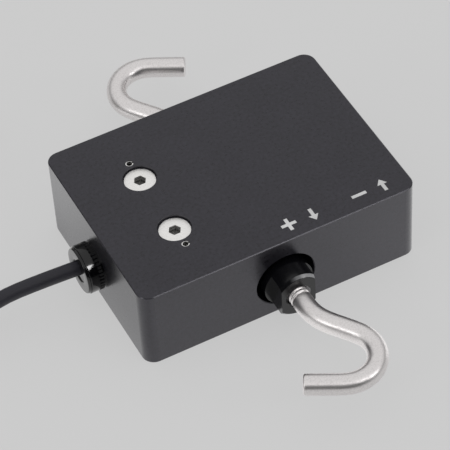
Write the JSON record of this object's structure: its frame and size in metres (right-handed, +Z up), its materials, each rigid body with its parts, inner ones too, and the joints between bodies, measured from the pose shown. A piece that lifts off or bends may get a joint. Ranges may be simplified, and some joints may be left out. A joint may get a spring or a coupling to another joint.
{
  "type": "force sensor",
  "caption": "Boxed tension and compression force sensor with a hook at each end, a cable gland and a coiled cable with a multi-way plug.",
  "frame": {"origin": "centre of the housing's flat underside", "axes": "+Z up from the underside; the load acts along Y, and -Y is the front, where the load shaft and its hook come out; X runs along the housing's long side, and the cable leaves through the -X end"},
  "size_m": [0.2014, 0.1852, 0.0286],
  "materials": {
    "black_anodised": "satin black anodised",
    "black_plate": "satin black anodised",
    "stainless": "tumbled stainless steel",
    "cell_aluminium": "bare machined",
    "gauge_foil": "polyimide film",
    "lead_sleeve": "sleeved wire",
    "board": "solder mask",
    "component_black": "moulded",
    "gland_black": "glossy moulded nylon",
    "seal_rubber": "matt rubber",
    "cable_jacket": "smooth cable jacket",
    "tie_fabric": "hook and loop strap",
    "hood_plastic": "fine texture",
    "plated_steel": "bright plated",
    "insert_plastic": "glass-filled moulding",
    "contact_gold": "gold plated",
    "thumbscrew_black": "knurled moulding",
    "marking_ink": "white screen-printed ink"
  },
  "bodies": {
    "housing": {"housing": "black_anodised", "bottom_cover": "black_plate", "cell_screws": "stainless", "spring_pins": "stainless", "cover_screws": "stainless", "board_screws": "stainless", "load_cell": "cell_aluminium", "strain_gauges": "gauge_foil", "gauge_leads": "lead_sleeve", "harness": "lead_sleeve", "terminal_board": "board", "board_components": "component_black", "gland_body": "gland_black", "gland_nut": "gland_black", "gland_locknut": "gland_black", "gland_seal": "seal_rubber", "connector_boot": "seal_rubber", "cable": "cable_jacket", "cable_coil": "cable_jacket", "cable_end": "cable_jacket", "coil_tie": "tie_fabric", "hood_upper": "hood_plastic", "hood_lower": "hood_plastic", "connector_shell": "plated_steel", "hood_screws": "plated_steel", "connector_insert": "insert_plastic", "contact_pins": "contact_gold"},
    "load_train": {"load_shaft": "black_anodised", "load_stud": "stainless", "jam_nut": "stainless"},
    "front_hook": {"front_hook": "stainless"},
    "rear_hook": {"rear_hook": "stainless"},
    "thumbscrew_left": {"thumbscrew_left": "thumbscrew_black"},
    "thumbscrew_right": {"thumbscrew_right": "thumbscrew_black"}
  },
  "joints": [
    {"name": "load_travel", "type": "slide", "parent": "housing", "child": "load_train", "axis": [0, -1, 0], "range_m": [-0.00025, 0.00025], "stiffness_N_per_m": 10000, "deforming": ["load_cell"]},
    {"name": "front_hook_turn", "type": "hinge", "parent": "load_train", "child": "front_hook", "pos_m": [0.00085, -0.04165, 0.0126], "axis": [0, -1, 0], "range_deg": [0, 180]},
    {"name": "rear_hook_turn", "type": "hinge", "parent": "housing", "child": "rear_hook", "pos_m": [0.00085, 0.03195, 0.0126], "axis": [0, 1, 0], "range_deg": [0, 180]},
    {"name": "thumbscrew_left_spin", "type": "hinge", "parent": "housing", "child": "thumbscrew_left", "pos_m": [-0.063, 0.10185, 0.0076], "axis": [1, 0, 0], "continuous": true},
    {"name": "thumbscrew_right_spin", "type": "hinge", "parent": "housing", "child": "thumbscrew_right", "pos_m": [-0.063, 0.06855, 0.0076], "axis": [1, 0, 0], "continuous": true}
  ]
}
